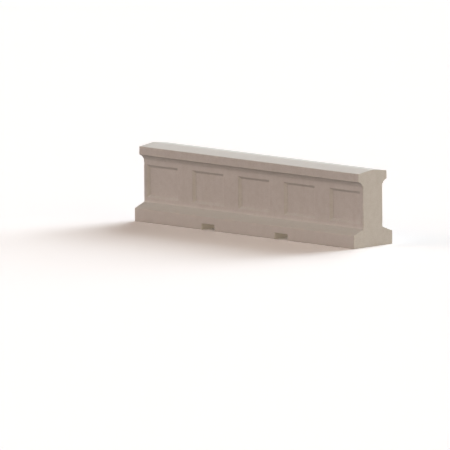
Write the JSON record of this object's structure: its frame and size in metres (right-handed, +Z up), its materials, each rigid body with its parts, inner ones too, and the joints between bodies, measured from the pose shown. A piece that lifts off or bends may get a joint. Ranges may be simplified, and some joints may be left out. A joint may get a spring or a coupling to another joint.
{
  "type": "concrete jersey barrier",
  "caption": "Long precast concrete road barrier with a wide base, shouldered web with recessed panels, coved gabled cap, fork pockets through its base and a steel bar cage inside.",
  "frame": {"origin": "on the ground, under the middle of the barrier", "axes": "+X along the barrier, +Y across it from the front face to the back face, +Z up"},
  "size_m": [3.048, 0.5334, 0.762],
  "materials": {
    "cast_concrete": "matte",
    "long_bar_steel": "matte",
    "tie_steel": "matte",
    "chair_plastic": "satin"
  },
  "bodies": {
    "root": {"concrete_body": "cast_concrete", "cap_bar_front": "long_bar_steel", "cap_bar_back": "long_bar_steel", "web_top_bar_front": "long_bar_steel", "web_top_bar_back": "long_bar_steel", "web_mid_bar_front": "long_bar_steel", "web_mid_bar_back": "long_bar_steel", "web_low_bar_front": "long_bar_steel", "web_low_bar_back": "long_bar_steel", "base_inner_bar_front": "long_bar_steel", "base_inner_bar_back": "long_bar_steel", "base_outer_bar_front": "long_bar_steel", "base_outer_bar_back": "long_bar_steel", "web_stirrup_1": "tie_steel", "web_stirrup_2": "tie_steel", "web_stirrup_3": "tie_steel", "web_stirrup_4": "tie_steel", "web_stirrup_5": "tie_steel", "web_stirrup_6": "tie_steel", "web_stirrup_7": "tie_steel", "web_stirrup_8": "tie_steel", "web_stirrup_9": "tie_steel", "base_tie_1": "tie_steel", "base_tie_2": "tie_steel", "base_tie_3": "tie_steel", "base_tie_4": "tie_steel", "base_tie_5": "tie_steel", "base_tie_6": "tie_steel", "base_tie_7": "tie_steel", "base_tie_8": "tie_steel", "base_tie_9": "tie_steel", "cap_cross_bar_1": "tie_steel", "cap_cross_bar_2": "tie_steel", "cap_cross_bar_3": "tie_steel", "cap_cross_bar_4": "tie_steel", "cap_cross_bar_5": "tie_steel", "cap_cross_bar_6": "tie_steel", "cap_cross_bar_7": "tie_steel", "cap_cross_bar_8": "tie_steel", "cap_cross_bar_9": "tie_steel", "pocket_cross_bar_1": "tie_steel", "pocket_cross_bar_2": "tie_steel", "pocket_cross_bar_3": "tie_steel", "pocket_cross_bar_4": "tie_steel", "bar_chair_1": "chair_plastic", "bar_chair_2": "chair_plastic", "bar_chair_3": "chair_plastic", "bar_chair_4": "chair_plastic", "bar_chair_5": "chair_plastic", "bar_chair_6": "chair_plastic", "bar_chair_7": "chair_plastic", "bar_chair_8": "chair_plastic"}
  },
  "joints": []
}
